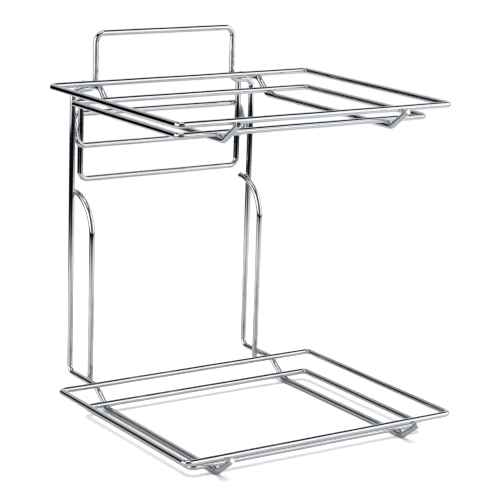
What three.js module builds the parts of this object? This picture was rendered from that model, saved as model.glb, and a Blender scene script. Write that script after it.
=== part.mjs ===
// Two-tier wire stand with a carrying handle, bent and welded from one gauge of round wire.
// Units are millimetres. +X is to the right, +Y to the back, +Z up.
// The origin is on the floor, at the middle of the stand's width and depth.
import * as THREE from 'three';

// ---- wire ----
const WIRE_D = 6.0; // wire diameter, the same in every piece
const WIRE_SIDES = 12; // facets round the wire, one of them facing straight up and one straight down
const BEND_STEPS = 1.2; // steps per radian of bend, times the square root of its radius
const CLEAR = 0.3; // clearance between wires that touch
const PITCH = WIRE_D + CLEAR; // centre distance of two wires that touch

// ---- one tier: an outer rim, and a smaller and lower rectangle that carries the tray ----
const RIM_W = 310; // outer rim, centre to centre, left to right
const RIM_D = 245; // outer rim, front to back
const RIM_R = 5; // bend radius of the rim corners, on the centre line
const LOW_REST_W = 272; // tray rest of the lower tier, left to right
const UP_REST_W = 284; // tray rest of the upper tier
const REST_D = 202; // both tray rests, front to back
const REST_R = 5;
const RUN_DROP = 20.4; // from the rim's centre line down to the runner's centre line

// ---- heights and offsets of the tiers ----
const RUN_Z = WIRE_D / 2; // the lower runners lie on the floor
const LOW_RIM_Z = RUN_Z + RUN_DROP;
const TIER_RISE = 310; // from the lower rim up to the upper rim
const UP_RIM_Z = LOW_RIM_Z + TIER_RISE;
const UP_SETBACK = 26.3; // how far the upper tier is set back from the lower one

// ---- origin ----
const MIDDLE_Y = 34.6; // middle of the stand's depth, behind the lower rim's centre

// ---- hook at the front of each runner, measured from the rim's front wire ----
const HOOK_IN = 16; // bend of the hook, behind the rim's front wire
const HOOK_OUT = 8.5; // end of the hook, in front of the rim's front wire
const HOOK_TIP_DROP = 1.7; // end of the hook, below the rim's centre line
const HOOK_R = 9;

// ---- main frame ----
const POST_X = 110; // posts and lower runners, either side of the middle
const POST_Y = 186.2; // plane of the posts and of the handle
const TAIL_DROP = 2.4; // lower stretch between the rim and the post, below the rim's centre line
const DIP_TOP_Y = 130.3; // where that stretch turns down
const DIP_LOW_Y = 104.8; // where the slope meets the runner
const SHOULDER_Z = 321.7; // short level shoulder at the top of each post
const HANDLE_X = 83.6; // handle legs, either side of the middle
const HANDLE_Z = 378.7; // centre line of the grip
const SHOULDER_R = 8.5;
const HANDLE_R = 9.5;
const FOOT_R = 8; // bend between the stretch and the post

// ---- braces ----
const BRACE_Y = 152.8; // upright part of the brace
const BRACE_LOW_Z = 16; // cut end beside the lower stretch
const BRACE_TOP_Z = 214; // level of the end that is welded to the post
const BRACE_R = 40;
const BRACE_END_Y = 192.5; // cut end, just behind the post

// ---- bracket of the upper tier ----
const LEG_X = 96.9; // bracket runners and legs, either side of the middle
const U_LOW_Z = 226.2; // level bar at the bottom of the bracket
const UP_DIP_TOP = 126.1; // where the bracket turns down, behind the rim's centre
const UP_DIP_LOW = 109.3; // where its slope meets the runner
const LEG_R = 8; // bottom corners of the bracket
const WRAP_R = 6.2; // bend over the shoulder

// ---- keeper loop: behind the bracket legs at the top and in front of them at the bottom ----
const LOOP_X = 103.6;
const LOOP_TOP_Z = 294.1;
const LOOP_LOW_Z = 263;
const LOOP_R = 8;
const LOOP_PLAY = 0.15; // extra play between the loop and the legs

// A centre line of straight stretches joined by round bends.
// corners: [x, y, z, bend radius] for each corner; the ends of an open wire have no bend.
class WirePath extends THREE.Curve {
  constructor(corners, closed, startNormal) {
    super();
    this.points = [];
    this.directions = [];
    this.closed = closed;
    this.startNormal = startNormal;
    const count = corners.length;
    for (let i = 0; i < count; i++) {
      this.addCorner(corners, i, count);
    }
    if (closed) {
      this.points.push(this.points[0].clone());
      this.directions.push(this.directions[0].clone());
    }
    this.steps = this.points.length - 1;
  }

  addCorner(corners, i, count) {
    const at = (k) => new THREE.Vector3(...corners[(k + count) % count].slice(0, 3));
    const here = at(i);
    const isStart = !this.closed && i === 0;
    const isEnd = !this.closed && i === count - 1;
    if (isStart || isEnd) {
      const run = isStart ? at(1).sub(here) : here.clone().sub(at(count - 2));
      this.points.push(here);
      this.directions.push(run.normalize());
      return;
    }
    const into = here.clone().sub(at(i - 1)).normalize();
    const out = at(i + 1).sub(here).normalize();
    const turn = into.angleTo(out);
    const radius = corners[i][3];
    const axis = into.clone().cross(out).normalize();
    const reach = radius * Math.tan(turn / 2);
    const start = here.clone().addScaledVector(into, -reach);
    const centre = start.clone().add(axis.clone().cross(into).multiplyScalar(radius));
    const steps = Math.max(2, Math.round(BEND_STEPS * turn * Math.sqrt(radius)));
    for (let k = 0; k <= steps; k++) {
      const angle = (turn * k) / steps;
      const arm = start.clone().sub(centre).applyAxisAngle(axis, angle);
      this.points.push(centre.clone().add(arm));
      this.directions.push(into.clone().applyAxisAngle(axis, angle));
    }
  }

  getPoint(t, target = new THREE.Vector3()) {
    return target.copy(this.points[Math.round(t * this.steps)]);
  }

  getPointAt(u, target) {
    return this.getPoint(u, target);
  }

  // Frames that follow the bends without twisting.
  computeFrenetFrames() {
    const normals = [this.startNormal.clone()];
    for (let i = 1; i <= this.steps; i++) {
      const before = this.directions[i - 1];
      const now = this.directions[i];
      const axis = before.clone().cross(now);
      const normal = normals[i - 1].clone();
      if (axis.length() > 1e-9) {
        normal.applyAxisAngle(axis.normalize(), before.angleTo(now));
      }
      normals.push(normal.normalize());
    }
    const binormals = normals.map((n, i) => this.directions[i].clone().cross(n).normalize());
    return { tangents: this.directions, normals, binormals };
  }
}

// Section of the wire: a regular polygon that stands round the circle, flat sides on its axes.
const SECTION_R = WIRE_D / 2 / Math.cos(Math.PI / WIRE_SIDES);

function wireSection() {
  const corners = [];
  for (let k = 0; k < WIRE_SIDES; k++) {
    const angle = ((k + 0.5) * 2 * Math.PI) / WIRE_SIDES;
    corners.push(new THREE.Vector2(SECTION_R * Math.cos(angle), SECTION_R * Math.sin(angle)));
  }
  return new THREE.Shape(corners);
}

// A wire with two cut ends.
function openWire(corners, startNormal) {
  const path = new WirePath(corners, false, startNormal);
  const options = { steps: path.steps, extrudePath: path, bevelEnabled: false, curveSegments: 1 };
  return new THREE.ExtrudeGeometry(wireSection(), options);
}

// A wire whose ends are butt-welded into a loop: a tube that runs back into itself.
function closedWire(corners, planeNormal) {
  const first = new THREE.Vector3(...corners[0].slice(0, 3));
  const last = new THREE.Vector3(...corners[corners.length - 1].slice(0, 3));
  const along = first.sub(last).normalize();
  const halfFacet = Math.PI / WIRE_SIDES;
  const startNormal = planeNormal.clone().applyAxisAngle(along, halfFacet);
  const path = new WirePath(corners, true, startNormal);
  return new THREE.TubeGeometry(path, path.steps, SECTION_R, WIRE_SIDES, true);
}

function rectangle(width, depth, radius, y, z) {
  return [
    [width / 2, y + depth / 2, z, radius],
    [-width / 2, y + depth / 2, z, radius],
    [-width / 2, y - depth / 2, z, radius],
    [width / 2, y - depth / 2, z, radius],
  ];
}

// The other half of a wire that is the same on both sides of the middle.
function mirrored(half) {
  const other = half.map(([x, y, z, r]) => [-x, y, z, r]).reverse();
  return [...half, ...other];
}

const UP = new THREE.Vector3(0, 0, 1);
const RIGHT = new THREE.Vector3(1, 0, 0);

function mainFrame() {
  const front = -RIM_D / 2;
  const tailZ = LOW_RIM_Z - TAIL_DROP;
  const left = [
    [-POST_X, front - HOOK_OUT, LOW_RIM_Z - HOOK_TIP_DROP],
    [-POST_X, front + HOOK_IN, RUN_Z, HOOK_R],
    [-POST_X, DIP_LOW_Y, RUN_Z, HOOK_R],
    [-POST_X, DIP_TOP_Y, tailZ, HOOK_R],
    [-POST_X, POST_Y, tailZ, FOOT_R],
    [-POST_X, POST_Y, SHOULDER_Z, SHOULDER_R],
    [-HANDLE_X, POST_Y, SHOULDER_Z, SHOULDER_R],
    [-HANDLE_X, POST_Y, HANDLE_Z, HANDLE_R],
  ];
  return openWire(mirrored(left), RIGHT);
}

function brace(side) {
  const x = side * (POST_X - PITCH);
  const corners = [
    [x, BRACE_Y, BRACE_LOW_Z],
    [x, BRACE_Y, BRACE_TOP_Z, BRACE_R],
    [x, BRACE_END_Y + 1, BRACE_TOP_Z],
  ];
  return openWire(corners, RIGHT);
}

function keeperLoop() {
  const legY = POST_Y + PITCH;
  const topY = legY + PITCH + LOOP_PLAY;
  const lowY = legY - PITCH - LOOP_PLAY;
  const corners = [
    [LOOP_X, topY, LOOP_TOP_Z, LOOP_R],
    [-LOOP_X, topY, LOOP_TOP_Z, LOOP_R],
    [-LOOP_X, lowY, LOOP_LOW_Z, LOOP_R],
    [LOOP_X, lowY, LOOP_LOW_Z, LOOP_R],
  ];
  const upSlope = new THREE.Vector3(0, topY - lowY, LOOP_TOP_Z - LOOP_LOW_Z);
  return closedWire(corners, RIGHT.clone().cross(upSlope).normalize());
}

function upperBracket() {
  const front = UP_SETBACK - RIM_D / 2;
  const runZ = UP_RIM_Z - RUN_DROP;
  const overZ = SHOULDER_Z + PITCH;
  const legY = POST_Y + PITCH;
  const left = [
    [-LEG_X, front - HOOK_OUT, UP_RIM_Z - HOOK_TIP_DROP],
    [-LEG_X, front + HOOK_IN, runZ, HOOK_R],
    [-LEG_X, UP_SETBACK + UP_DIP_LOW, runZ, HOOK_R],
    [-LEG_X, UP_SETBACK + UP_DIP_TOP, overZ, HOOK_R],
    [-LEG_X, legY, overZ, WRAP_R],
    [-LEG_X, legY, U_LOW_Z, LEG_R],
  ];
  return openWire(mirrored(left), RIGHT);
}

const stand = new THREE.Group();

function addPiece(name, geometry, parent) {
  const chrome = new THREE.MeshStandardMaterial({ color: 0xd4d7da, roughness: 0.1, metalness: 1.0 });
  const mesh = new THREE.Mesh(geometry, chrome);
  mesh.name = name;
  parent.add(mesh);
}

function addTier(prefix, y, rimZ, restW) {
  const restZ = rimZ - RUN_DROP + PITCH;
  const rim = closedWire(rectangle(RIM_W, RIM_D, RIM_R, 0, 0), UP);
  const rest = closedWire(rectangle(restW, REST_D, REST_R, 0, restZ - rimZ), UP);
  const tier = new THREE.Group();
  tier.position.set(0, y, rimZ);
  addPiece(prefix + '_rim', rim, tier);
  addPiece(prefix + '_tray_rest', rest, tier);
  stand.add(tier);
}

addPiece('main_frame', mainFrame(), stand);
addPiece('brace_left', brace(-1), stand);
addPiece('brace_right', brace(1), stand);
addPiece('keeper_loop', keeperLoop(), stand);
addTier('lower', 0, LOW_RIM_Z, LOW_REST_W);
addPiece('upper_bracket', upperBracket(), stand);
addTier('upper', UP_SETBACK, UP_RIM_Z, UP_REST_W);
stand.position.y = -MIDDLE_Y;

export default stand;
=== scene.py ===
"""Looks of the two-tier wire tray stand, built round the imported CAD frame.

Every wire is swept again along the centre line that it has in the CAD model, with round sections,
smooth bends and sheared ends, and every crossing gets its weld. The stand's lengths are millimetres
here and metres in Blender. The studio's lengths are metres.
"""

import math
from collections import namedtuple

import bpy
from mathutils import Matrix, Vector


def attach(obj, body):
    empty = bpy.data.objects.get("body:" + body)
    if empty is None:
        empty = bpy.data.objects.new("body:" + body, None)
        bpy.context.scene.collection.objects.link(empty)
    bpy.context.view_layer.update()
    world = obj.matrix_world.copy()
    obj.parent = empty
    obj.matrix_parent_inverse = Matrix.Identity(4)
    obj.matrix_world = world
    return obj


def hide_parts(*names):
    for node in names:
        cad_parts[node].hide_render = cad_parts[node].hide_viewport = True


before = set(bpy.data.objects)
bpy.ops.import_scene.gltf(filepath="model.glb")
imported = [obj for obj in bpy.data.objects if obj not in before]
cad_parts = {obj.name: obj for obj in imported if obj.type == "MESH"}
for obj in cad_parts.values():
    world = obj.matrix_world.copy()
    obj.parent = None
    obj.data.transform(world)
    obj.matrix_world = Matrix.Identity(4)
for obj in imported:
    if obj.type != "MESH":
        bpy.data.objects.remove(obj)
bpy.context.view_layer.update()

MM = 0.001

# ---- the stand's own dimensions, as in the CAD model ----
WIRE_R = 3.0
PITCH = 6.3  # centre distance of two wires that touch
RIM_W, RIM_D, RIM_R = 310.0, 245.0, 5.0
LOW_REST_W, UP_REST_W, REST_D, REST_R = 272.0, 284.0, 202.0, 5.0
RUN_DROP = 20.4
RUN_Z = WIRE_R
LOW_RIM_Z = RUN_Z + RUN_DROP
UP_RIM_Z = LOW_RIM_Z + 310.0
UP_SETBACK = 26.3
MIDDLE_Y = 34.6
HOOK_IN, HOOK_OUT, HOOK_TIP_DROP, HOOK_R = 16.0, 8.5, 1.7, 9.0
POST_X, POST_Y = 110.0, 186.2
TAIL_Z = LOW_RIM_Z - 2.4
DIP_TOP_Y, DIP_LOW_Y = 130.3, 104.8
SHOULDER_Z, SHOULDER_R = 321.7, 8.5
HANDLE_X, HANDLE_Z, HANDLE_R = 83.6, 378.7, 9.5
FOOT_R = 8.0
BRACE_X, BRACE_Y, BRACE_R = POST_X - PITCH, 152.8, 40.0
BRACE_LOW_Z, BRACE_TOP_Z, BRACE_END_Y = 16.0, 214.0, 193.5
LEG_X, LEG_Y, LEG_R, WRAP_R = 96.9, POST_Y + PITCH, 8.0, 6.2
U_LOW_Z = 226.2
UP_DIP_TOP, UP_DIP_LOW = 126.1, 109.3
LOOP_X, LOOP_TOP_Z, LOOP_LOW_Z, LOOP_R, LOOP_PLAY = 103.6, 294.1, 263.0, 8.0, 0.15
LOOP_TOP_Y = LEG_Y + PITCH + LOOP_PLAY
LOOP_LOW_Y = LEG_Y - PITCH - LOOP_PLAY

# ---- how finely and how truly the wire is made ----
SIDES = 28
STRAIGHT_STEP = 5.0  # ring spacing along a straight stretch
BEND_STEP = math.radians(5)
OVAL = 0.02  # a bend flattens the wire by this part of its radius
BOW = 0.05  # a straight stretch wanders by this much
BOW_PACE = 0.031  # and this quickly, per millimetre
BOW_WAVES = ((0.0, 2.1, 1.7), (1.9, 0.0, 1.3), (2.3, 1.5, 0.0))  # sideways along x, y and z

# A cut end, ring by ring: (how far before the end, how far in from the side).
SHEAR = ((0.5, 0.0), (0.22, 0.08), (0.07, 0.22), (0.0, 0.42))
SHEAR_EDGE = 0.1  # rings further in than this belong to the cut
FACE_RINGS = (0.8, 0.6, 0.4, 0.2)  # rings on the cut face, as shares of its radius
PAINTED_DARK_WITHIN = 0.7  # an unplated cut face is painted dark inside this share of its radius: painted shade for a dark reflection
END_CROWN = 0.16  # the cut face stands out in the middle by this much
END_LEAN = 0.10  # and slants by this much, up or down
PLATED, BARE_PAINTED_DARK = 1.0, 2.0  # the two ways that a cut face can look: plated, or unplated and painted near black, which is painted shade for a dark reflection

# A closed wire has a butt weld in the middle of its first side, with this much flash round it.
SEAM_RISE, SEAM_HALF = 0.03, 1.4
SEAM_RINGS = 4  # on each side of its middle
SEAM_CLEAR = 1.2  # no other ring is nearer than this many half lengths

UP = Vector((0, 0, 1))
RIGHT = Vector((1, 0, 0))
BACK = Vector((0, 1, 0))


# ---------------------------------------------------------------- wires

def bend_stations(before, here, after, radius):
    """The rings of one bend: (point, direction, way to the bend's centre, extra radius)."""
    into = (here - before).normalized()
    out = (after - here).normalized()
    turn = into.angle(out)
    axis = into.cross(out).normalized()
    start = here - into * (radius * math.tan(turn / 2))
    centre = start + axis.cross(into) * radius
    steps = max(3, math.ceil(turn / BEND_STEP))
    bend = []
    for k in range(steps + 1):
        spin = Matrix.Rotation(turn * k / steps, 3, axis)
        arm = spin @ (start - centre)
        bend.append((centre + arm, spin @ into, -arm.normalized(), 0.0))
    return bend


def straight_stations(a, b, bend_before, bend_after, seam):
    """The rings of one straight stretch, without those that the bends at its ends have already."""
    length = (b - a).length
    way = (b - a).normalized()
    steps = max(1, math.ceil(length / STRAIGHT_STEP))
    first = 1 if bend_before else 0
    last = steps if bend_after else steps + 1
    spots = [length * k / steps for k in range(first, last)]
    swells = [0.0] * len(spots)
    if seam:
        middle = length / 2
        spots = [s for s in spots if abs(s - middle) > SEAM_HALF * SEAM_CLEAR]
        spots += [middle + SEAM_HALF * k / SEAM_RINGS for k in range(-SEAM_RINGS, SEAM_RINGS + 1)]
        spots.sort()
        swells = [SEAM_RISE * max(0.0, 1 - ((s - middle) / SEAM_HALF) ** 2) ** 2 for s in spots]
    return [(a + way * s, way.copy(), None, swell) for s, swell in zip(spots, swells)]


def stations_of(corners, closed):
    """All rings along a wire that is bent at the given corners, each (x, y, z, bend radius)."""
    count = len(corners)
    points = [Vector(c[:3]) for c in corners]
    bends = []
    for i, (here, corner) in enumerate(zip(points, corners)):
        if not closed and i in (0, count - 1):
            bends.append([])
        else:
            bends.append(bend_stations(points[i - 1], here, points[(i + 1) % count], corner[3]))
    stations = []
    for i in range(count if closed else count - 1):
        n = (i + 1) % count
        start = bends[i][-1][0] if bends[i] else points[i]
        end = bends[n][0][0] if bends[n] else points[n]
        stations += bends[i]
        stations += straight_stations(start, end, bool(bends[i]), bool(bends[n]), closed and i == 0)
    return stations


def wander(point, seed):
    """The small sideways error of a straightened wire, the same on every run."""
    turns = [point.dot(Vector(wave)) * BOW_PACE for wave in BOW_WAVES]
    return Vector([math.sin(turn + (i + 1) * seed) for i, turn in enumerate(turns)]) * BOW


class Wire:
    """The mesh of one wire under construction."""

    def __init__(self, seed):
        self.seed = seed
        self.verts, self.faces = [], []
        self.grain = []  # where each point lay on the straight wire: round it, and along it
        self.cut = []  # how each point was cut: 0, plated, or unplated with its painted dark

    def ring(self, centre, way, normal, length, radius=WIRE_R, inward=None, cut=0.0):
        side = way.cross(normal)
        first = len(self.verts)
        for k in range(SIDES):
            angle = 2 * math.pi * k / SIDES
            arm = normal * math.cos(angle) + side * math.sin(angle)
            if inward is not None:
                arm = arm - inward * (arm.dot(inward) * OVAL)
            self.verts.append(centre + arm * radius)
            self.grain.append(Vector((math.cos(angle), math.sin(angle), 0)) * WIRE_R + UP * length)
            self.cut.append(cut)
        return first

    def skin(self, a, b):
        for k in range(SIDES):
            n = (k + 1) % SIDES
            self.faces.append((a + k, a + n, b + n, b + k))

    def sweep(self, stations, closed, start_normal, leans, finishes):
        """Rings and skin along the stations. A closed wire runs its length up and down again."""
        normal = start_normal.copy()
        before = stations[0][1]
        length = 0.0
        total = sum((b[0] - a[0]).length for a, b in zip(stations, stations[1:]))
        rings = []
        places = []
        for i, (point, way, inward, swell) in enumerate(stations):
            if i:
                length += (point - stations[i - 1][0]).length
                normal = before.rotation_difference(way) @ normal
                normal = (normal - way * normal.dot(way)).normalized()
            before = way
            along = min(length, total - length) if closed else length
            places.append((point, way, normal.copy(), along))
            if not closed and i in (0, len(stations) - 1):
                rings.append(None)
                continue
            at = point if inward is not None else point + wander(point, self.seed)
            rings.append(self.ring(at, way, normal, along, WIRE_R + swell, inward))
        if not closed:
            rings[0] = self.cut_end(places[0], -1, leans[0], finishes[0])
            rings[-1] = self.cut_end(places[-1], 1, leans[1], finishes[1])
        for a, b in zip(rings, rings[1:]):
            self.skin(a, b)
        if closed:
            self.skin(rings[-1], rings[0])

    def cut_end(self, place, sign, lean, finish):
        """A sheared end: rolled edge, then a slanting, slightly crowned face.

        Returns the ring that joins the wire.
        """
        point, way, normal, length = place
        outward = way * sign
        steep = UP - way * UP.dot(way)
        steep = steep.normalized() if steep.length > 0.01 else BACK
        point = point - outward * (abs(lean) * WIRE_R + END_CROWN)
        rows = [(-back, WIRE_R - inset, PLATED if inset > SHEAR_EDGE else 0.0) for back, inset in SHEAR]
        face_r = WIRE_R - SHEAR[-1][1]
        for share in FACE_RINGS:
            # Inner rings of an unplated face get its painted dark, a painted shade for a dark reflection.
            face_cut = finish if share < PAINTED_DARK_WITHIN else PLATED
            rows.append((END_CROWN * (1 - share ** 2), face_r * share, face_cut))
        rings = []
        for rise, radius, cut in rows:
            first = self.ring(point + outward * rise, way, normal, length, radius, cut=cut)
            for k in range(first, first + SIDES):
                arm = self.verts[k] - point
                self.verts[k] = self.verts[k] + outward * (arm.dot(steep) * lean)
            rings.append(first)
        for a, b in zip(rings, rings[1:]):
            if sign > 0:
                self.skin(a, b)
            else:
                self.skin(b, a)
        middle = len(self.verts)
        self.verts.append(point + outward * END_CROWN)
        self.grain.append(UP * length)
        self.cut.append(finish)
        last = rings[-1]
        for k in range(SIDES):
            n = (k + 1) % SIDES
            self.faces.append((last + k, last + n, middle) if sign > 0 else (last + n, last + k, middle))
        return rings[0]


# ---------------------------------------------------------------- centre lines

def mirrored(half):
    """A wire that is the same on both sides of the middle, from its left half."""
    return half + [(-c[0], *c[1:]) for c in reversed(half)]


def rectangle(width, depth, radius, y, z):
    x, d = width / 2, depth / 2
    return [(x, y + d, z, radius), (-x, y + d, z, radius), (-x, y - d, z, radius), (x, y - d, z, radius)]


def main_frame_line():
    front = -RIM_D / 2
    return mirrored([
        (-POST_X, front - HOOK_OUT, LOW_RIM_Z - HOOK_TIP_DROP, 0),
        (-POST_X, front + HOOK_IN, RUN_Z, HOOK_R),
        (-POST_X, DIP_LOW_Y, RUN_Z, HOOK_R),
        (-POST_X, DIP_TOP_Y, TAIL_Z, HOOK_R),
        (-POST_X, POST_Y, TAIL_Z, FOOT_R),
        (-POST_X, POST_Y, SHOULDER_Z, SHOULDER_R),
        (-HANDLE_X, POST_Y, SHOULDER_Z, SHOULDER_R),
        (-HANDLE_X, POST_Y, HANDLE_Z, HANDLE_R),
    ])


def bracket_line():
    front = UP_SETBACK - RIM_D / 2
    run_z = UP_RIM_Z - RUN_DROP
    return mirrored([
        (-LEG_X, front - HOOK_OUT, UP_RIM_Z - HOOK_TIP_DROP, 0),
        (-LEG_X, front + HOOK_IN, run_z, HOOK_R),
        (-LEG_X, UP_SETBACK + UP_DIP_LOW, run_z, HOOK_R),
        (-LEG_X, UP_SETBACK + UP_DIP_TOP, SHOULDER_Z + PITCH, HOOK_R),
        (-LEG_X, LEG_Y, SHOULDER_Z + PITCH, WRAP_R),
        (-LEG_X, LEG_Y, U_LOW_Z, LEG_R),
    ])


def brace_line(side):
    x = side * BRACE_X
    return [
        (x, BRACE_Y, BRACE_LOW_Z, 0),
        (x, BRACE_Y, BRACE_TOP_Z, BRACE_R),
        (x, BRACE_END_Y, BRACE_TOP_Z, 0),
    ]


def loop_line():
    return [
        (LOOP_X, LOOP_TOP_Y, LOOP_TOP_Z, LOOP_R),
        (-LOOP_X, LOOP_TOP_Y, LOOP_TOP_Z, LOOP_R),
        (-LOOP_X, LOOP_LOW_Y, LOOP_LOW_Z, LOOP_R),
        (LOOP_X, LOOP_LOW_Y, LOOP_LOW_Z, LOOP_R),
    ]


# ---------------------------------------------------------------- welds

RIM_WELD, REST_WELD, BRACE_WELD, LOOP_WELD = 2.5, 2.4, 2.4, 2.3  # least reach from mid-crossing
LOOP_WELD_RISE = 7.5  # the loop meets the post this far above its bottom bar
WELD_SPREAD = 0.75  # a bead runs this much further along its wires
WELD_WAIST = 0.74  # the bead's waist, as a part of its reach
# A bead's outline is wavy: (waves round it, height, shift by seed, shift by weld).
WELD_WAVES = ((3, 0.16, 1.0, 1.7), (5, 0.10, 2.3, 1.0), (9, 0.06, 0.7, 2.1))
WAVE_BELOW = 0.8  # the waves are this much of their height on the other wire
BITE = 0.35  # how far the weld metal reaches into each wire
BITE_POWER = 6  # how suddenly it does
CAP_DEPTH = 0.4  # how much deeper the hidden middle of a bead lies
WELD_REACH_LIMIT = 0.96  # a bead stays within this part of the wire's radius
FILLET_STEPS = 48
FILLET_RINGS = 9
HEAT_AREA = 30.0  # how far the heat of a weld spreads, in square millimetres


class Weld:
    """Where two crossing wires are welded: the spot, both wires' directions, and the way from b to a."""

    def __init__(self, spot, a_way, b_way, toward_a, size):
        self.spot = Vector((spot[0], spot[1] - MIDDLE_Y, spot[2]))
        self.axis = Vector(toward_a).normalized()
        self.a_way = Vector(a_way).normalized()
        self.b_way = Vector(b_way).normalized()
        self.size = size


def upper_side(way):
    """The direction square to a run without sideways slope, on its upper side."""
    return Vector((0, -way.z, way.y)) * math.copysign(1, way.y)


def tier_welds(y, rim_z, runner_x, slope):
    """The welds of one tier: hooks and slopes under the rim, and runners under the rest."""
    welds = []
    hook = Vector((0, -(HOOK_IN + HOOK_OUT), RUN_DROP - HOOK_TIP_DROP)).normalized()
    for x in (-runner_x, runner_x):
        for rim_y, way in ((y - RIM_D / 2, hook), (y + RIM_D / 2, slope.normalized())):
            above = upper_side(way)
            spot = Vector((x, rim_y, rim_z)) - above * PITCH / 2
            welds.append(Weld(spot, RIGHT, way, above, RIM_WELD))
        for rest_y in (y - REST_D / 2, y + REST_D / 2):
            spot = Vector((x, rest_y, rim_z - RUN_DROP + PITCH / 2))
            welds.append(Weld(spot, RIGHT, BACK, UP, REST_WELD))
    return welds


def frame_welds():
    slope = Vector((0, DIP_TOP_Y - DIP_LOW_Y, TAIL_Z - RUN_Z))
    welds = tier_welds(0.0, LOW_RIM_Z, POST_X, slope)
    loop_way = Vector((0, LOOP_TOP_Y - LOOP_LOW_Y, LOOP_TOP_Z - LOOP_LOW_Z)).normalized()
    loop_y = LOOP_LOW_Y + LOOP_WELD_RISE * loop_way.y / loop_way.z
    loop_z = LOOP_LOW_Z + LOOP_WELD_RISE
    for side in (-1, 1):
        out = RIGHT * side
        middle = side * (POST_X - PITCH / 2)
        welds.append(Weld((middle, BRACE_Y, TAIL_Z), BACK, UP, out, BRACE_WELD))
        welds.append(Weld((middle, POST_Y, BRACE_TOP_Z), UP, BACK, out, BRACE_WELD))
        welds.append(Weld((middle, (POST_Y + loop_y) / 2, loop_z), UP, loop_way, out, LOOP_WELD))
    return welds


def upper_welds():
    slope = Vector((0, UP_DIP_TOP - UP_DIP_LOW, SHOULDER_Z + PITCH - (UP_RIM_Z - RUN_DROP)))
    return tier_welds(UP_SETBACK, UP_RIM_Z, LEG_X, slope)


def skin_height(reach, angle):
    """How far from the middle of the crossing a wire's skin is, at this reach and angle from its run."""
    off = min(abs(reach * math.sin(angle)), WIRE_R * WELD_REACH_LIMIT)
    return PITCH / 2 - math.sqrt(WIRE_R ** 2 - off ** 2)


def weld_outline(theta, lean, size, phases):
    """One side of a bead, seen square to it: (reach, height) on wire a, at the waist and on wire b."""
    wave = sum(
        height * math.sin(count * theta + phase)
        for (count, height, _, _), phase in zip(WELD_WAVES, phases)
    )
    reach_a = size + WELD_SPREAD * math.cos(theta) ** 2 + wave
    reach_b = size + WELD_SPREAD * math.cos(theta - lean) ** 2 + wave * WAVE_BELOW
    top = Vector((reach_a, skin_height(reach_a, theta)))
    low = Vector((reach_b, -skin_height(reach_b, theta - lean)))
    waist = Vector((min(reach_a, reach_b) * WELD_WAIST, (top.y + low.y) / 2))
    return top, waist, low


def weld_mesh(welds, seed):
    """Closed beads, each a concave collar squeezed out between two crossing wires."""
    verts, faces, grain = [], [], []
    for w, weld in enumerate(welds):
        along_a = weld.a_way
        across_a = weld.axis.cross(along_a).normalized()
        lean = math.atan2(weld.b_way.dot(across_a), weld.b_way.dot(along_a))
        phases = [by_seed * seed + by_weld * w for _, _, by_seed, by_weld in WELD_WAVES]
        first = len(verts)
        for i in range(FILLET_STEPS):
            theta = 2 * math.pi * i / FILLET_STEPS
            top, waist, low = weld_outline(theta, lean, weld.size, phases)
            arm = along_a * math.cos(theta) + across_a * math.sin(theta)
            for k in range(FILLET_RINGS):
                t = k / (FILLET_RINGS - 1)
                p = top * (1 - t) ** 2 + waist * (2 * t * (1 - t)) + low * t ** 2
                bite = BITE * (abs(2 * t - 1) ** BITE_POWER)
                rise = p.y + (bite if t < 0.5 else -bite)
                verts.append(weld.spot + arm * p.x + weld.axis * rise)
                grain.append(Vector((math.cos(theta), math.sin(theta), t)) * WIRE_R)
        for i in range(FILLET_STEPS):
            here = first + i * FILLET_RINGS
            after = first + (i + 1) % FILLET_STEPS * FILLET_RINGS
            for k in range(FILLET_RINGS - 1):
                faces.append((here + k, here + k + 1, after + k + 1, after + k))
        for k, sign in ((0, 1), (FILLET_RINGS - 1, -1)):
            middle = len(verts)
            verts.append(weld.spot + weld.axis * (sign * (PITCH / 2 - WIRE_R + BITE + CAP_DEPTH)))
            grain.append(Vector((0, 0, k)))
            for i in range(FILLET_STEPS):
                a = first + i * FILLET_RINGS + k
                b = first + (i + 1) % FILLET_STEPS * FILLET_RINGS + k
                faces.append((a, b, middle) if sign > 0 else (b, a, middle))
    return verts, faces, grain


# ---------------------------------------------------------------- objects

# What the pieces of one finish share. The last is where the welds of their body are.
Finish = namedtuple("Finish", "material slot body weld_spots")


def heat_at(point, spots):
    """How near a point is to a weld, from 0 to 1."""
    near = min((point - spot).length_squared for spot in spots)
    return math.exp(-near / HEAT_AREA)


def make_object(name, verts, faces, grain, cut, finish, nodes):
    body, slot = finish.body, finish.slot
    mesh = bpy.data.meshes.new(name)
    mesh.from_pydata([v * MM for v in verts], [], faces)
    mesh.update()
    mesh.shade_smooth()
    drawn = mesh.attributes.new("drawn", "FLOAT_VECTOR", "POINT")
    drawn.data.foreach_set("vector", [c for g in grain for c in g])
    sheared = mesh.attributes.new("sheared", "FLOAT", "POINT")
    sheared.data.foreach_set("value", cut)
    heat = mesh.attributes.new("heat", "FLOAT", "POINT")
    heat.data.foreach_set("value", [heat_at(v, finish.weld_spots) for v in verts])
    mesh.materials.append(finish.material)
    obj = bpy.data.objects.new(name, mesh)
    bpy.context.scene.collection.objects.link(obj)
    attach(obj, body)
    if nodes:
        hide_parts(*nodes)


def add_wire(name, corners, closed, normal, finish, seed, leans=(0.0, 0.0), cuts=(PLATED, PLATED)):
    placed = [(c[0], c[1] - MIDDLE_Y, *c[2:]) for c in corners]
    wire = Wire(seed)
    wire.sweep(stations_of(placed, closed), closed, normal, leans, cuts)
    make_object(name + "_wire", wire.verts, wire.faces, wire.grain, wire.cut, finish, [name])


def add_welds(name, welds, seed, finish):
    verts, faces, grain = weld_mesh(welds, seed)
    make_object(name, verts, faces, grain, [0.0] * len(verts), finish, [])


# ---------------------------------------------------------------- material

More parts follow.
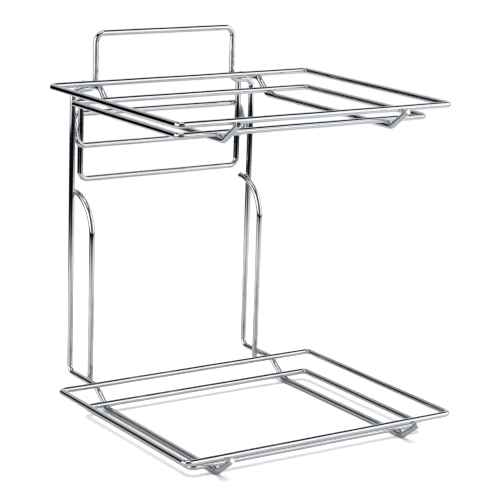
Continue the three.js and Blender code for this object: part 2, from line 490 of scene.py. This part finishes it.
class Nodes:
    """Short forms for building a node tree."""

    def __init__(self, tree):
        self.tree = tree
        tree.nodes.clear()

    def add(self, kind, **settings):
        node = self.tree.nodes.new(kind)
        for key, value in settings.items():
            setattr(node, key, value)
        return node

    def put(self, socket, value):
        if isinstance(value, bpy.types.NodeSocket):
            self.tree.links.new(value, socket)
        else:
            socket.default_value = value

    def math(self, operation, a, b=None, clamp=False):
        node = self.add("ShaderNodeMath", operation=operation, use_clamp=clamp)
        self.put(node.inputs[0], a)
        if b is not None:
            self.put(node.inputs[1], b)
        return node.outputs[0]

    def smooth(self, value, low, high, to_low=0.0, to_high=1.0):
        node = self.add("ShaderNodeMapRange", interpolation_type="SMOOTHSTEP")
        for socket, v in zip(node.inputs, (value, low, high, to_low, to_high)):
            self.put(socket, v)
        return node.outputs[0]

    def noise(self, vector, scale, detail, roughness=0.6):
        node = self.add("ShaderNodeTexNoise")
        self.put(node.inputs["Vector"], vector)
        node.inputs["Scale"].default_value = scale
        node.inputs["Detail"].default_value = detail
        node.inputs["Roughness"].default_value = roughness
        return node.outputs["Fac"]

    def scaled(self, vector, scale, location):
        node = self.add("ShaderNodeMapping")
        self.put(node.inputs["Vector"], vector)
        node.inputs["Scale"].default_value = scale
        node.inputs["Location"].default_value = location
        return node.outputs["Vector"]

    def blend(self, factor, a, b):
        node = self.add("ShaderNodeMix", data_type="RGBA")
        self.put(node.inputs["Factor"], factor)
        self.put(node.inputs["A"], a)
        self.put(node.inputs["B"], b)
        return node.outputs["Result"]

    def bump(self, height, strength, distance, normal=None):
        node = self.add("ShaderNodeBump")
        node.inputs["Strength"].default_value = strength
        node.inputs["Distance"].default_value = distance
        self.put(node.inputs["Height"], height)
        if normal is not None:
            self.put(node.inputs["Normal"], normal)
        return node.outputs["Normal"]

    def glow(self, colour, strength=1.0):
        node = self.add("ShaderNodeEmission")
        node.inputs["Color"].default_value = colour
        node.inputs["Strength"].default_value = strength
        return node.outputs[0]

    def backdrop(self, colour, strength):
        node = self.add("ShaderNodeBackground")
        self.put(node.inputs["Color"], colour)
        self.put(node.inputs["Strength"], strength)
        return node.outputs[0]

    def mixed(self, factor, a, b):
        node = self.add("ShaderNodeMixShader")
        for socket, v in zip(node.inputs, (factor, a, b)):
            self.put(socket, v)
        return node.outputs[0]


CHROME_BRIGHT = (0.605, 0.62, 0.635, 1)
CHROME_DULL = (0.56, 0.575, 0.60, 1)
CHROME_STAIN = (0.30, 0.31, 0.34, 1)
CUT_STEEL = (0.60, 0.61, 0.62, 1)
# Unplated cut steel, painted near black: painted shade standing in for the dark reflection in the face.
BARE_STEEL_PAINTED_DARK = (0.06, 0.06, 0.07, 1)

# Scales of the patterns in the plating, per metre, and of the draw lines, per millimetre round and along.
CLOUD_SCALE, RIPPLE_SCALE, PIT_SCALE, GRAIN_SCALE = 70, 130, 300, 900
LINE_SCALE = (1.9, 1.9, 0.035)
SEED_SHIFT = Vector((0.37, 0.23, 0.41))  # how far the patterns move from one material to the next

ROUGH_CLEAR, ROUGH_CLOUDY = 0.02, 0.055
LINE_ROUGH, SPECKLE_ROUGH, CUT_ROUGH = 0.02, 0.25, 0.10  # what each mark adds to the roughness
SPECKLE_STAIN = 0.7

# Relief: (strength, depth in metres).
RIPPLE_RELIEF = (0.2, 0.00004)
LINE_RELIEF = (0.15, 0.000006)
PIT_RELIEF = (0.3, 0.00003)

# Where wire and weld metal differ: how far heat stains and roughens them, and the relief of their grain.
Skin = namedtuple("Skin", "heat_stain heat_rough relief")
WIRE_SKIN = Skin(0.5, 0.10, (0.05, 0.000005))
WELD_SKIN = Skin(0.75, 0.16, (0.30, 0.00006))


def chrome(name, seed, skin=WIRE_SKIN):
    """Bright chrome plate on drawn wire: draw lines, cloudy plating, pinholes, dull metal by the welds,
    and painted shade on an unplated cut face.
    """
    material = bpy.data.materials.new(name)
    material.use_nodes = True
    n = Nodes(material.node_tree)
    place = n.add("ShaderNodeTexCoord").outputs["Object"]
    drawn = n.add("ShaderNodeAttribute", attribute_name="drawn").outputs["Vector"]
    sheared = n.add("ShaderNodeAttribute", attribute_name="sheared").outputs["Fac"]
    heat = n.add("ShaderNodeAttribute", attribute_name="heat").outputs["Fac"]
    moved = n.scaled(place, (1, 1, 1), SEED_SHIFT * seed)

    cloud = n.noise(moved, CLOUD_SCALE, 4)
    grain = n.noise(moved, GRAIN_SCALE, 3)
    ripple = n.noise(moved, RIPPLE_SCALE, 2, 0.5)
    lines = n.noise(n.scaled(drawn, LINE_SCALE, (seed, 0, 0)), 1.0, 3)
    pits = n.add("ShaderNodeTexVoronoi", feature="F1")
    n.put(pits.inputs["Vector"], moved)
    n.put(pits.inputs["Scale"], PIT_SCALE)
    pinhole = n.smooth(pits.outputs["Distance"], 0.05, 0.12, 1.0, 0.0)
    speckle = n.math("MULTIPLY", pinhole, n.smooth(cloud, 0.56, 0.66))
    scorch = n.math("MULTIPLY", heat, n.smooth(grain, 0.35, 0.65))
    cut = n.math("MULTIPLY", sheared, n.smooth(grain, 0.3, 0.6, 0.5, 1.0), clamp=True)
    # An unplated cut face: its near-black colour is painted shade for a dark reflection.
    is_bare_painted_dark = n.smooth(sheared, PLATED + 0.2, BARE_PAINTED_DARK - 0.2)
    bare_painted_dark = n.math("MULTIPLY", is_bare_painted_dark, n.smooth(grain, 0.35, 0.62, 1.0, 0.35))

    colour = n.blend(n.smooth(cloud, 0.35, 0.7), CHROME_BRIGHT, CHROME_DULL)
    colour = n.blend(n.math("MULTIPLY", scorch, skin.heat_stain), colour, CHROME_STAIN)
    colour = n.blend(n.math("MULTIPLY", speckle, SPECKLE_STAIN), colour, CHROME_STAIN)
    colour = n.blend(cut, colour, CUT_STEEL)
    colour = n.blend(bare_painted_dark, colour, BARE_STEEL_PAINTED_DARK)

    rough = n.smooth(cloud, 0.3, 0.75, ROUGH_CLEAR, ROUGH_CLOUDY)
    for mark, amount in (
        (lines, LINE_ROUGH), (scorch, skin.heat_rough), (speckle, SPECKLE_ROUGH), (sheared, CUT_ROUGH),
    ):
        rough = n.math("ADD", rough, n.math("MULTIPLY", mark, amount))

    normal = n.bump(ripple, *RIPPLE_RELIEF)
    normal = n.bump(lines, *LINE_RELIEF, normal)
    normal = n.bump(grain, *skin.relief, normal)
    normal = n.bump(n.math("MULTIPLY", speckle, -1.0), *PIT_RELIEF, normal)

    shader = n.add("ShaderNodeBsdfPrincipled")
    shader.inputs["Metallic"].default_value = 1.0
    n.put(shader.inputs["Base Color"], colour)
    n.put(shader.inputs["Roughness"], rough)
    n.put(shader.inputs["Normal"], normal)
    n.put(n.add("ShaderNodeOutputMaterial").inputs["Surface"], shader.outputs["BSDF"])
    return material


# ---------------------------------------------------------------- the stand

def make_stand():
    low_welds, high_welds = frame_welds(), upper_welds()
    low_spots = [weld.spot for weld in low_welds]
    high_spots = [weld.spot for weld in high_welds]
    frame_finish = Finish(chrome("chrome_frame", 1.0), "chrome_frame", "frame", low_spots)
    lower_finish = Finish(chrome("chrome_lower", 2.0), "chrome_lower", "frame", low_spots)
    bracket_finish = Finish(chrome("chrome_bracket", 3.0), "chrome_bracket", "upper_tier", high_spots)
    upper_finish = Finish(chrome("chrome_upper", 4.0), "chrome_upper", "upper_tier", high_spots)
    weld_chrome = chrome("weld_chrome", 5.0, WELD_SKIN)

    low_rest_z = LOW_RIM_Z - RUN_DROP + PITCH
    up_rest_z = UP_RIM_Z - RUN_DROP + PITCH
    loop_normal = RIGHT.cross(Vector((0, LOOP_TOP_Y - LOOP_LOW_Y, LOOP_TOP_Z - LOOP_LOW_Z))).normalized()
    lower_rim = rectangle(RIM_W, RIM_D, RIM_R, 0, LOW_RIM_Z)
    lower_rest = rectangle(LOW_REST_W, REST_D, REST_R, 0, low_rest_z)
    upper_rim = rectangle(RIM_W, RIM_D, RIM_R, UP_SETBACK, UP_RIM_Z)
    upper_rest = rectangle(UP_REST_W, REST_D, REST_R, UP_SETBACK, up_rest_z)

    add_wire("main_frame", main_frame_line(), False, RIGHT, frame_finish, 1, leans=(END_LEAN, END_LEAN))
    add_wire("brace_left", brace_line(-1), False, RIGHT, frame_finish, 2)
    add_wire("brace_right", brace_line(1), False, RIGHT, frame_finish, 3)
    add_wire("keeper_loop", loop_line(), True, loop_normal, frame_finish, 4)
    add_wire("lower_rim", lower_rim, True, UP, lower_finish, 5)
    add_wire("lower_tray_rest", lower_rest, True, UP, lower_finish, 6)
    # The bracket's first end is unplated and painted dark: painted shade for a dark reflection.
    add_wire("upper_bracket", bracket_line(), False, RIGHT, bracket_finish, 7,
             leans=(-END_LEAN, END_LEAN), cuts=(BARE_PAINTED_DARK, PLATED))
    add_wire("upper_rim", upper_rim, True, UP, upper_finish, 8)
    add_wire("upper_tray_rest", upper_rest, True, UP, upper_finish, 9)
    add_welds("frame_welds", low_welds, 0.4, frame_finish._replace(material=weld_chrome))
    add_welds("upper_welds", high_welds, 1.9, upper_finish._replace(material=weld_chrome))


# ---------------------------------------------------------------- floor, light and camera

WHITE = (1, 1, 1, 1)
DARK = (0.002, 0.005, 0.008, 1)
PAPER_WHITE = (0.96, 0.96, 0.96, 1)
PAPER = 1.0  # brightness of the white all round, as the camera sees it
FLOOR_R = 1.8
FLOOR_SIDES = 96
FLOOR_DROP = 0.00005
FADE_NEAR, FADE_FAR = 0.35, 0.9  # the lit paper turns to plain white from here to here

# The chrome mirrors the floor as a white table in a dark room.
TABLE_LEFT, TABLE_BACK = -0.85, 0.95  # where the table ends; the back edge runs diagonally
TABLE_FRONT, TABLE_SLANT = -0.62, 0.7  # its front edge runs away from the stand to the right
TABLE_SOFT = 0.22
TABLE_SHINE = 0.68  # how bright the table is
TABLE_SHADED_UNDER = 0.54  # and right below the stand, darker there: painted shade of the stand on the table
UNDER_SHADE_NEAR, UNDER_SHADE_FAR = 0.15, 0.45  # the painted shade under the stand lifts from here to here
TABLE_NEAR, TABLE_FAR = 0.75, 1.5  # and dims again from here to here
TABLE_DIM = 0.1  # to this part
TABLE_GLOSS = 1.5  # refractive index of its gloss
GLOSS_ROUGH = 0.08
GLOSS_NEAR, GLOSS_FAR = 0.5, 1.0  # the gloss ends from here to here

# The studio round the stand: (brightness, compass middle, half width, lowest, highest, softness).
# Angles are in degrees, and the compass is 0 at the back and 90 at the right.
STUDIO = (
    (0.9, 28, 46, -30, 38, 6),  # white backdrop
    (1.62, 126, 36, -30, 46, 4),  # large soft light, front right
    (1.9, -84, 36, -10, 40, 7),  # soft light, left
    (0.5, 172, 14, -30, 30, 8),  # grey wall behind the camera
    (0.12, -150, 28, -30, 30, 8),  # camera, in the dark
    (0.55, -18, 32, 26, 52, 6),  # wall above the gap
    (0.0, -35, 15, -30, 32, 4),  # gap between the backdrop and the left light
    (1.5, 0, 200, 66, 200, 8),  # soft light overhead
)
ROOM = 0.02  # brightness of the rest of the room
DIM_TINT, LIGHT_TINT = (0.72, 0.95, 1.0, 1), (0.985, 0.99, 1.0, 1)
TINT_END = 0.5  # from this brightness on, the light has its own tint

LIGHT_AT, LIGHT_SIZE, LIGHT_POWER = Vector((0.2, -0.1, 2.0)), 2.6, 50

CAMERA_COMPASS, CAMERA_RISE, CAMERA_ROLL = (math.radians(angle) for angle in (-33.96, 13.53, 1.93))
CAMERA_TARGET = Vector((-0.0100, -0.0346, 0.1831))
CAMERA_DISTANCE = 1.867
LENS, SENSOR = 135.65, 36
CLIP_NEAR, CLIP_FAR = 0.05, 50
PIXEL_FILTER = 1.3


def table_light(n, x, y, radius):
    """How bright the table is in the chrome, at one place on the floor, with painted shade right under the
    stand.
    """
    left = n.smooth(x, TABLE_LEFT - TABLE_SOFT, TABLE_LEFT + TABLE_SOFT, 1.0, 0.0)
    slanted = n.math("ADD", y, n.math("MULTIPLY", x, TABLE_SLANT))
    front = n.smooth(slanted, TABLE_FRONT - TABLE_SOFT, TABLE_FRONT + TABLE_SOFT, 1.0, 0.0)
    back = n.smooth(n.math("SUBTRACT", y, x), TABLE_BACK - TABLE_SOFT, TABLE_BACK + TABLE_SOFT)
    beyond = n.math("MAXIMUM", n.math("MAXIMUM", left, front), back)
    # Painted shade: the table is darker right under the stand, as the chrome sees it.
    under = n.smooth(radius, UNDER_SHADE_NEAR, UNDER_SHADE_FAR, TABLE_SHADED_UNDER / TABLE_SHINE, 1.0)
    shine = n.smooth(radius, TABLE_NEAR, TABLE_FAR, TABLE_SHINE, TABLE_SHINE * TABLE_DIM)
    return n.math("MULTIPLY", n.math("SUBTRACT", 1.0, beyond), n.math("MULTIPLY", under, shine))


def ground_material():
    """Lit paper that fades to plain white for the camera; a glossy table in the dark for the chrome."""
    material = bpy.data.materials.new("white_ground")
    material.use_nodes = True
    n = Nodes(material.node_tree)
    place = n.add("ShaderNodeSeparateXYZ")
    n.put(place.inputs[0], n.add("ShaderNodeTexCoord").outputs["Object"])
    x, y = place.outputs["X"], place.outputs["Y"]
    radius = n.math("SQRT", n.math("ADD", n.math("MULTIPLY", x, x), n.math("MULTIPLY", y, y)))
    path = n.add("ShaderNodeLightPath")
    to_camera, to_chrome = path.outputs["Is Camera Ray"], path.outputs["Is Glossy Ray"]

    paper = n.add("ShaderNodeBsdfDiffuse")
    paper.inputs["Color"].default_value = PAPER_WHITE
    far = n.math("MULTIPLY", to_camera, n.smooth(radius, FADE_NEAR, FADE_FAR))
    ground = n.mixed(far, paper.outputs[0], n.glow(WHITE, PAPER))

    unlit = n.math("SUBTRACT", 1.0, table_light(n, x, y, radius))
    ground = n.mixed(n.math("MULTIPLY", to_chrome, unlit), ground, n.glow(DARK))

    gloss = n.add("ShaderNodeBsdfGlossy")
    gloss.inputs["Roughness"].default_value = GLOSS_ROUGH
    edge_on = n.add("ShaderNodeFresnel")
    edge_on.inputs["IOR"].default_value = TABLE_GLOSS
    near = n.math("MULTIPLY", to_chrome, n.smooth(radius, GLOSS_NEAR, GLOSS_FAR, 1.0, 0.0))
    ground = n.mixed(n.math("MULTIPLY", near, edge_on.outputs[0]), ground, gloss.outputs[0])
    n.put(n.add("ShaderNodeOutputMaterial").inputs["Surface"], ground)
    return material


def make_floor():
    mesh = bpy.data.meshes.new("floor")
    turns = [2 * math.pi * k / FLOOR_SIDES for k in range(FLOOR_SIDES)]
    rim = [(FLOOR_R * math.cos(turn), FLOOR_R * math.sin(turn), 0) for turn in turns]
    mesh.from_pydata(rim, [], [tuple(range(FLOOR_SIDES))])
    mesh.update()
    floor = bpy.data.objects.new("floor", mesh)
    floor.location.z = -FLOOR_DROP
    bpy.context.scene.collection.objects.link(floor)
    mesh.materials.append(ground_material())


def make_world():
    """Plain white for the camera, and the studio for everything else."""
    world = bpy.data.worlds.new("studio")
    bpy.context.scene.world = world
    world.use_nodes = True
    n = Nodes(world.node_tree)
    way = n.add("ShaderNodeSeparateXYZ")
    n.put(way.inputs[0], n.add("ShaderNodeTexCoord").outputs["Generated"])
    compass = n.math("DEGREES", n.math("ARCTAN2", way.outputs["X"], way.outputs["Y"]))
    height = n.math("DEGREES", n.math("ARCSINE", way.outputs["Z"]))
    level = ROOM
    for bright, middle, half, low, high, soft in STUDIO:
        turned = n.math("WRAP", n.math("SUBTRACT", compass, middle), 180.0)
        turned.node.inputs[2].default_value = -180.0
        window = n.smooth(n.math("ABSOLUTE", turned), half - soft, half + soft, 1.0, 0.0)
        window = n.math("MULTIPLY", window, n.smooth(height, low - soft / 2, low + soft / 2))
        window = n.math("MULTIPLY", window, n.smooth(height, high - soft, high + soft, 1.0, 0.0))
        mix = n.add("ShaderNodeMix", data_type="FLOAT")
        for socket, v in (("Factor", window), ("A", level), ("B", bright)):
            n.put(mix.inputs[socket], v)
        level = mix.outputs["Result"]
    tint = n.blend(n.smooth(level, 0.0, TINT_END), DIM_TINT, LIGHT_TINT)
    to_camera = n.add("ShaderNodeLightPath").outputs["Is Camera Ray"]
    surroundings = n.mixed(to_camera, n.backdrop(tint, level), n.backdrop(WHITE, PAPER))
    n.put(n.add("ShaderNodeOutputWorld").inputs["Surface"], surroundings)


def make_light():
    lamp = bpy.data.lights.new("overhead", "AREA")
    lamp.shape = "DISK"
    lamp.size = LIGHT_SIZE
    lamp.energy = LIGHT_POWER
    light = bpy.data.objects.new("overhead", lamp)
    light.location = LIGHT_AT
    light.rotation_mode = "QUATERNION"
    light.rotation_quaternion = (-LIGHT_AT).to_track_quat("-Z", "Y")
    light.visible_glossy = False
    bpy.context.scene.collection.objects.link(light)


def make_camera():
    back = Vector((
        math.sin(CAMERA_COMPASS) * math.cos(CAMERA_RISE),
        -math.cos(CAMERA_COMPASS) * math.cos(CAMERA_RISE),
        math.sin(CAMERA_RISE),
    ))
    right = (-back).cross(UP).normalized()
    up = right.cross(-back)
    rolled_right = right * math.cos(CAMERA_ROLL) + up * math.sin(CAMERA_ROLL)
    rolled_up = up * math.cos(CAMERA_ROLL) - right * math.sin(CAMERA_ROLL)
    lens = bpy.data.cameras.new("camera")
    lens.sensor_width = SENSOR
    lens.lens = LENS
    lens.clip_start, lens.clip_end = CLIP_NEAR, CLIP_FAR
    camera = bpy.data.objects.new("camera", lens)
    turn = Matrix((rolled_right, rolled_up, back)).transposed()
    camera.matrix_world = Matrix.Translation(CAMERA_TARGET + back * CAMERA_DISTANCE) @ turn.to_4x4()
    bpy.context.scene.collection.objects.link(camera)
    bpy.context.scene.camera = camera


make_stand()
make_floor()
make_world()
make_light()
make_camera()
bpy.context.scene.view_settings.view_transform = "Standard"
bpy.context.scene.cycles.filter_width = PIXEL_FILTER

bpy.context.view_layer.update()
